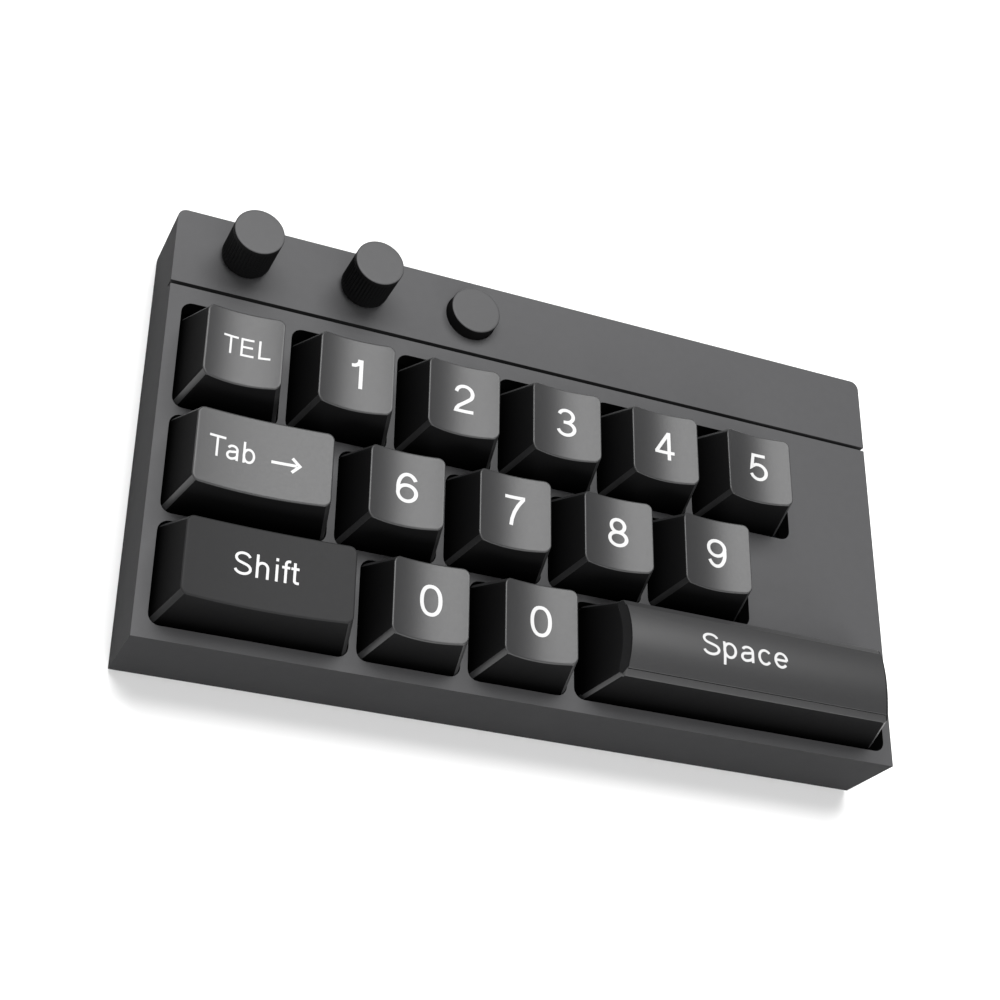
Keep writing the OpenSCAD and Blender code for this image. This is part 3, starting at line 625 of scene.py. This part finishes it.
# Plain sans-serif letters as centre lines of strokes, on capitals one unit high: advance, strokes
GLYPHS = {
    "0": (0.77, [loop(0.33, 0.5, 0.265, 0.44, 2.25)]),
    "1": (0.77, [[(0.40, 0), (0.40, 1)],
                 [(0.12, 0.775), (0.22, 0.785), (0.30, 0.83), (0.345, 0.9), (0.36, 1)]]),
    "2": (0.77, [arc(0.33, 0.68, 0.25, 0.26, 172, -38)
                 + [(0.36, 0.38), (0.17, 0.23), (0.10, 0.13), (0.08, LOW), (0.61, LOW)]]),
    "3": (0.77, [arc(0.32, 0.725, 0.225, 0.215, 165, -90) + [(0.24, 0.51)],
                 [(0.24, 0.51)] + arc(0.32, 0.285, 0.265, 0.225, 90, -165)]),
    "4": (0.77, [[(0.64, 0.26), (0, 0.26)], [(0.045, 0.262), (0.462, 0.972)], [(0.47, 0), (0.47, 1)]]),
    "5": (0.77, [[(0.57, HIGH), (0.165, HIGH), (0.10, 0.50)]
                 + arc(0.32, 0.335, 0.265, 0.275, 138, -160)]),
    "6": (0.77, SIX),
    "7": (0.77, [[(0.05, HIGH), (0.60, HIGH), (0.60, 0.90), (0.45, 0.68), (0.34, 0.45),
                  (0.27, 0.22), (0.24, 0)]]),
    "8": (0.77, [loop(0.33, 0.725, 0.21, 0.215), loop(0.33, 0.285, 0.265, 0.225)]),
    "9": (0.77, [[(0.67 - x, 1 - y) for x, y in path] for path in SIX]),
    "T": (0.84, [[(0.03, HIGH), (0.81, HIGH)], [(0.42, 0), (0.42, HIGH)]]),
    "E": (0.92, [[(0.78, HIGH), (0.17, HIGH), (0.17, LOW), (0.80, LOW)], [(0.17, 0.52), (0.74, 0.52)]]),
    "L": (0.78, [[(0.17, 1), (0.17, LOW), (0.72, LOW)]]),
    "S": (0.93, [arc(0.45, 0.735, 0.285, 0.205, 12, 238) + arc(0.46, 0.275, 0.315, 0.215, 64, -168)]),
    "a": (0.77, [arc(0.33, 0.485, 0.215, 0.18, 160, 0) + [(0.545, 0)],
                 [(0.545, 0.42), (0.42, 0.405)] + arc(0.26, 0.215, 0.18, 0.162, 82, 285)
                 + [(0.44, 0.10), (0.545, 0.20)]]),
    "b": (0.77, [[(0.10, 0), (0.10, 1)], BOWL]),
    "p": (0.77, [[(0.10, -0.28), (0.10, 0.725)], BOWL]),
    "h": (0.77, [[(0.12, 0), (0.12, 1)],
                 [(0.12, 0.36)] + arc(0.335, 0.44, 0.215, 0.225, 180, 0) + [(0.55, 0)]]),
    "i": (0.31, [[(0.15, 0), (0.15, 0.725)], [(0.15, 0.87), (0.15, 1)]]),
    "f": (0.39, [[(0.20, 0)] + arc(0.32, 0.80, 0.12, 0.14, 180, 90, 8) + [(0.39, HIGH)],
                 [(0.04, X_TOP), (0.37, X_TOP)]]),
    "t": (0.39, [[(0.18, 0.92)] + arc(0.29, 0.16, 0.11, 0.10, 180, 270, 8) + [(0.37, LOW)],
                 [(0.03, X_TOP), (0.36, X_TOP)]]),
    "c": (0.70, [arc(0.32, MID, 0.25, 0.305, 38, 322, 24)]),
    "e": (0.77, [arc(0.33, MID, 0.25, 0.305, 0, 322, 28), [(0.085, 0.355), (0.575, 0.355)]]),
}


def stroke_solid(path, width):
    """A bar of ink 2 units thick along a path; it is a ring where the path ends where it starts."""
    closed = math.dist(path[0], path[-1]) < SAME_POINT
    points = [Vector(p) for p in (path[:-1] if closed else path)]
    n = len(points)
    bm = bmesh.new()
    rows = []
    for i, point in enumerate(points):
        before = (point - points[i - 1]).normalized() if closed or i else None
        after = (points[(i + 1) % n] - point).normalized() if closed or i < n - 1 else None
        before, after = before or after, after or before
        across = Vector((-(before + after).y, (before + after).x)).normalized()
        across *= width / 2 / max(SHARPEST, across.dot(Vector((-after.y, after.x))))
        rows.append([bm.verts.new((*(point + across * side), z))
                     for side, z in ((-1, -1), (1, -1), (1, 1), (-1, 1))])
    pairs = list(zip(rows, rows[1:])) + ([(rows[-1], rows[0])] if closed else [])
    for one, two in pairs:
        for k in range(4):
            bm.faces.new((one[k], one[(k + 1) % 4], two[(k + 1) % 4], two[k]))
    if not closed:
        bm.faces.new(rows[0])
        bm.faces.new(rows[-1])
    bmesh.ops.recalc_face_normals(bm, faces=bm.faces)
    return bm


def united(solids):
    """One flat mesh of the upper faces of several overlapping solids."""
    holder = bpy.data.collections.new("strokes")
    objects = []
    for solid in solids:
        mesh = bpy.data.meshes.new("stroke")
        solid.to_mesh(mesh)
        solid.free()
        objects.append(bpy.data.objects.new("stroke", mesh))
    base = link(objects[0])
    if len(objects) > 1:
        for obj in objects[1:]:
            holder.objects.link(obj)
        bpy.context.scene.collection.children.link(holder)
        merge = base.modifiers.new("merge", "BOOLEAN")
        merge.operation, merge.solver = "UNION", "EXACT"
        merge.operand_type, merge.collection = "COLLECTION", holder
    bm = bmesh.new()
    bm.from_mesh(base.evaluated_get(bpy.context.evaluated_depsgraph_get()).to_mesh())
    for obj in objects:
        bpy.data.meshes.remove(obj.data)
    bpy.data.collections.remove(holder)
    under = [f for f in bm.faces if f.normal.z < STEEP]
    bmesh.ops.delete(bm, geom=under, context="FACES")
    bmesh.ops.triangulate(bm, faces=bm.faces)
    return bm


def word_outline(text):
    """Flat mesh of a word, with its capitals one unit high and its start at x = 0."""
    at, solids = 0, []
    for letter in text:
        advance, paths = GLYPHS[letter]
        solids += [stroke_solid([(at + x, y) for x, y in path], STROKE) for path in paths]
        at += advance
    return united(solids)


def add_legend(cap, text, height, width, centre):
    """Lettering on a cap: capitals of the given height, stretched to the given width."""
    bm = word_outline(text)
    xs = [v.co.x for v in bm.verts]
    scale_x = width / (max(xs) - min(xs)) if width else height * DIGIT_WIDEN
    mid = (max(xs) + min(xs)) / 2
    for v in bm.verts:
        v.co = Vector((centre[0] + (v.co.x - mid) * scale_x,
                       centre[1] + (v.co.y - 0.5) * height, 0))
    drape(bm, cap)
    add_piece("legend_" + cap.key, bm, None, "key_" + cap.key, material=LEGEND_INK)


def add_arrow(cap):
    """Arrow that points right, with an open head."""
    cx, cy = ARROW["centre"]
    half, head, stroke = ARROW["length"] / 2, ARROW["head"], ARROW["stroke"]
    tip = cx + half
    shaft = stroke_solid([(cx - half, cy), (tip - stroke, cy)], stroke)
    barbs = stroke_solid([(tip - head, cy + head), (tip, cy), (tip - head, cy - head)], stroke)
    bm = united([shaft, barbs])
    drape(bm, cap)
    add_piece("legend_tab_arrow", bm, None, "key_" + cap.key, material=LEGEND_INK)


def make_keys():
    for body in frame["bodies"]:
        if not body.startswith("key_"):
            continue
        key = body[len("key_"):]
        cap = make_cap(key)
        text, height, width, centre = LEGENDS.get(key, (key[0], DIGIT_HEIGHT, None, DIGIT_CENTRE))
        add_legend(cap, text, height, width, centre)
        if key == ARROW["key"]:
            add_arrow(cap)


# ---------------------------------------------------------------- knobs, button and feet

FLUTES = 44
FLUTE_DEPTH = 0.22
KNOB_STEPS = FLUTES * 6
GRIP_FOOT, GRIP_HEAD = 0.75, 0.85     # plain bands below and above the flutes
RAMP_FOOT, RAMP_HEAD = 0.7, 0.5       # over which a flute runs in and out
KNOB_FILLET = 0.22
KNOB_FOOT = [(0.3, 0), (0.05, 0.12), (0, 0.3)]  # inwards from the outside, height


def make_knob(side):
    low, high = (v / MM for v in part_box("knob_" + side))
    centre = (low + high) / 2
    r = (high.x - low.x) / 2
    h = high.z - low.z
    grip_low, grip_high = GRIP_FOOT, h - GRIP_HEAD
    profile = [(0.01, 0)] + [(r - inward, z) for inward, z in KNOB_FOOT] + [(r, grip_low)]
    fluted_from = len(profile)
    profile += [(r, grip_low + RAMP_FOOT), (r, h / 2), (r, grip_high - RAMP_HEAD)]
    fluted_to = len(profile)
    profile += [(r, grip_high)] + round_off(r, h, KNOB_FILLET)
    profile += [(r - 0.6, h), (r * 0.6, h), (r * 0.25, h)]

    def ripple(a, row):
        fluted = fluted_from <= row < fluted_to
        return -FLUTE_DEPTH * MM * (0.5 - 0.5 * math.cos(FLUTES * a)) if fluted else 0

    bm = bmesh.new()
    turned(bm, centre * MM, [(p * MM, (low.z + z) * MM) for p, z in profile], KNOB_STEPS, ripple)
    add_piece("knob_grip_" + side, bm, "knob_plastic", "dial_" + side, ["knob_" + side])


BUTTON_R = 4.6
BUTTON_FLANGE_T = 0.8
BUTTON_ROD_R = 1.6
BUTTON_FILLET = 0.25
BUTTON_STEPS = 128
PANEL_GAP = 0.05          # between the flange and the panel above it


def make_button():
    low, high = (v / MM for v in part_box("round_button"))
    centre = (low + high) / 2
    panel_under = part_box("control_panel")[0].z / MM
    flange_r = (high.x - low.x) / 2
    flange_top = panel_under - PANEL_GAP
    flange_low = flange_top - BUTTON_FLANGE_T
    profile = [(BUTTON_ROD_R, low.z), (BUTTON_ROD_R, flange_low), (flange_r, flange_low),
               (flange_r, flange_top), (BUTTON_R, flange_top), (BUTTON_R, high.z - 1)]
    profile += round_off(BUTTON_R, high.z, BUTTON_FILLET)
    profile += [(BUTTON_R - 0.6, high.z), (BUTTON_R / 2, high.z)]
    bm = bmesh.new()
    turned(bm, centre * MM, [(p * MM, z * MM) for p, z in profile], BUTTON_STEPS)
    add_piece("button_disc", bm, "knob_plastic", "button", ["round_button"])


FOOT_R = 4.0
FOOT_STEPS = 48
# A shallow hollow in the middle of the sole, and its rounded edge
HOLLOW_R, HOLLOW_DEPTH, SOLE_R = FOOT_R * 0.55, 0.12, FOOT_R * 0.7
SOLE_EDGE, SOLE_ROUND = 0.35, 0.1


def make_feet():
    low, high = (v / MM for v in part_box("rubber_feet"))
    bm = bmesh.new()
    h = high.z - low.z
    profile = [(HOLLOW_R, HOLLOW_DEPTH), (SOLE_R, 0), (FOOT_R - SOLE_EDGE, 0),
               (FOOT_R - SOLE_ROUND, SOLE_ROUND), (FOOT_R, SOLE_EDGE), (FOOT_R, h)]
    for x in (low.x + FOOT_R, high.x - FOOT_R):
        for y in (low.y + FOOT_R, high.y - FOOT_R):
            turned(bm, Vector((x, y, 0)) * MM, [(p * MM, (low.z + z) * MM) for p, z in profile],
                   FOOT_STEPS)
    add_piece("feet", bm, "rubber", stands_for=["rubber_feet"])


# ---------------------------------------------------------------- springs, wire and leads

COIL_R = 1.72
COIL_WIRE = 0.14
COIL_TURNS = 7
COIL_STEPS = 16


def make_springs():
    """A coil under each stem. Its foot stands on the switch."""
    low, high = (v.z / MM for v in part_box("switch_springs"))
    foot, tip = low + COIL_WIRE, high - COIL_WIRE
    end_rise = 2 * COIL_WIRE  # the first and the last turn lie on themselves
    for body in frame["bodies"]:
        if not body.startswith("key_"):
            continue
        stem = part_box("stem_" + body[len("key_"):])
        x, y = (stem[0].x + stem[1].x) / 2 / MM, (stem[0].y + stem[1].y) / 2 / MM
        path = []
        total = COIL_TURNS * COIL_STEPS
        for i in range(total + 1):
            t = i / total
            turn = t * COIL_TURNS
            opened = min(1, max(0, (turn - 1) / (COIL_TURNS - 2)))
            end_turns = min(1, turn) + max(0, turn - COIL_TURNS + 1)
            a = 2 * math.pi * COIL_TURNS * t
            z = foot + (tip - foot - 2 * end_rise) * opened + end_rise * end_turns
            path.append(Vector((x + COIL_R * math.cos(a), y + COIL_R * math.sin(a), z)) * MM)
        bm = bmesh.new()
        tube(bm, path, COIL_WIRE * MM, 6)
        spring = add_piece("spring_" + body[len("key_"):], bm, "spring_steel", None, ["switch_springs"])
        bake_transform(spring)


WIRE_R = 0.6
WIRE_ARM = 6.9
BEND_R = 0.9


def make_wire():
    """The Space key's stabiliser wire, bent from one rod."""
    low, high = (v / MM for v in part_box("stabilizer_wire"))
    r = WIRE_R
    left, right = low.x + r, high.x - r
    bar_y, bar_z = high.y - r, low.z + r
    arm = Vector((0, low.y - bar_y, high.z - r - bar_z)).normalized()
    corners = [Vector((left, bar_y, bar_z)), Vector((right, bar_y, bar_z))]
    path = [corners[0] + arm * WIRE_ARM]
    path += bend(corners[0], arm, (1, 0, 0), BEND_R)
    path += bend(corners[1], (-1, 0, 0), arm, BEND_R)
    path.append(corners[1] + arm * WIRE_ARM)
    bm = bmesh.new()
    tube(bm, [p * MM for p in path], r * MM, 16)
    add_piece("space_wire_rod", bm, "wire_steel", "space_wire", ["stabilizer_wire"])


LEAD_R = 0.45


def make_leads():
    low, high = (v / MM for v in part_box("battery_leads"))
    leads = (("lead_red", low.x + LEAD_R, None), ("lead_black", high.x - LEAD_R, BLACK_LEAD))
    for name, x, material in leads:
        corner = Vector((x, high.y - LEAD_R, high.z - LEAD_R))
        path = [Vector((x, low.y, corner.z))]
        path += bend(corner, (0, -1, 0), (0, 0, -1), BEND_R)
        path.append(Vector((x, corner.y, low.z)))
        bm = bmesh.new()
        tube(bm, [p * MM for p in path], LEAD_R * MM, 12)
        add_piece(name, bm, "lead_insulation", stands_for=["battery_leads"], material=material)


# ---------------------------------------------------------------- the rest of the object

# Finishes of the CAD nodes that stay as they are; the rest, all of them inside, are black
NODE_FINISHES = {
    "switch_plate": "plate_metal", "circuit_board": "board", "encoder_housings": "shell_metal",
    "button_switch": "shell_metal", "power_switch": "shell_metal", "battery_cell": "battery_foil",
    "controller_chip": "chip", "key_diodes": "chip", "stabilizer_inserts": "insert_white",
    "encoder_rotor_left": "insert_white", "encoder_rotor_right": "insert_white",
    "encoder_shaft_left": "shell_metal", "encoder_shaft_right": "shell_metal",
    "button_plunger": "insert_white",
}


def paint_nodes():
    for name, node in frame["nodes"].items():
        node.data.materials.clear()
        node.data.materials.append(FINISHES[NODE_FINISHES.get(name, "switch_black")])


def make_floor():
    bm = bmesh.new()
    bmesh.ops.create_grid(bm, x_segments=8, y_segments=8, size=FLOOR_SIZE / 2)
    mesh = bpy.data.meshes.new("floor")
    bm.to_mesh(mesh)
    bm.free()
    mesh.materials.append(FLOOR)
    link(bpy.data.objects.new("floor", mesh))


CASE_EDGE = 0.12
COVER_EDGE = 0.15
METAL_EDGE = 0.06

make_camera()
make_lights()
make_floor()
paint_nodes()
blacken_wells(soften("case", "upper_case", CASE_EDGE, "case_plastic"))
soften("panel", "control_panel", CASE_EDGE, "case_plastic")
soften("bottom_cover", "base_plate", COVER_EDGE, "base_plastic")
soften("bottom_screws", "case_screws", METAL_EDGE, "screw_steel")
soften("usb_shell", "usb_socket", METAL_EDGE, "shell_metal")
soften("power_thumb", "power_slider", CASE_EDGE, "switch_black", "power")
make_keys()
make_knob("left")
make_knob("right")
make_button()
make_feet()
make_springs()
make_wire()
make_leads()
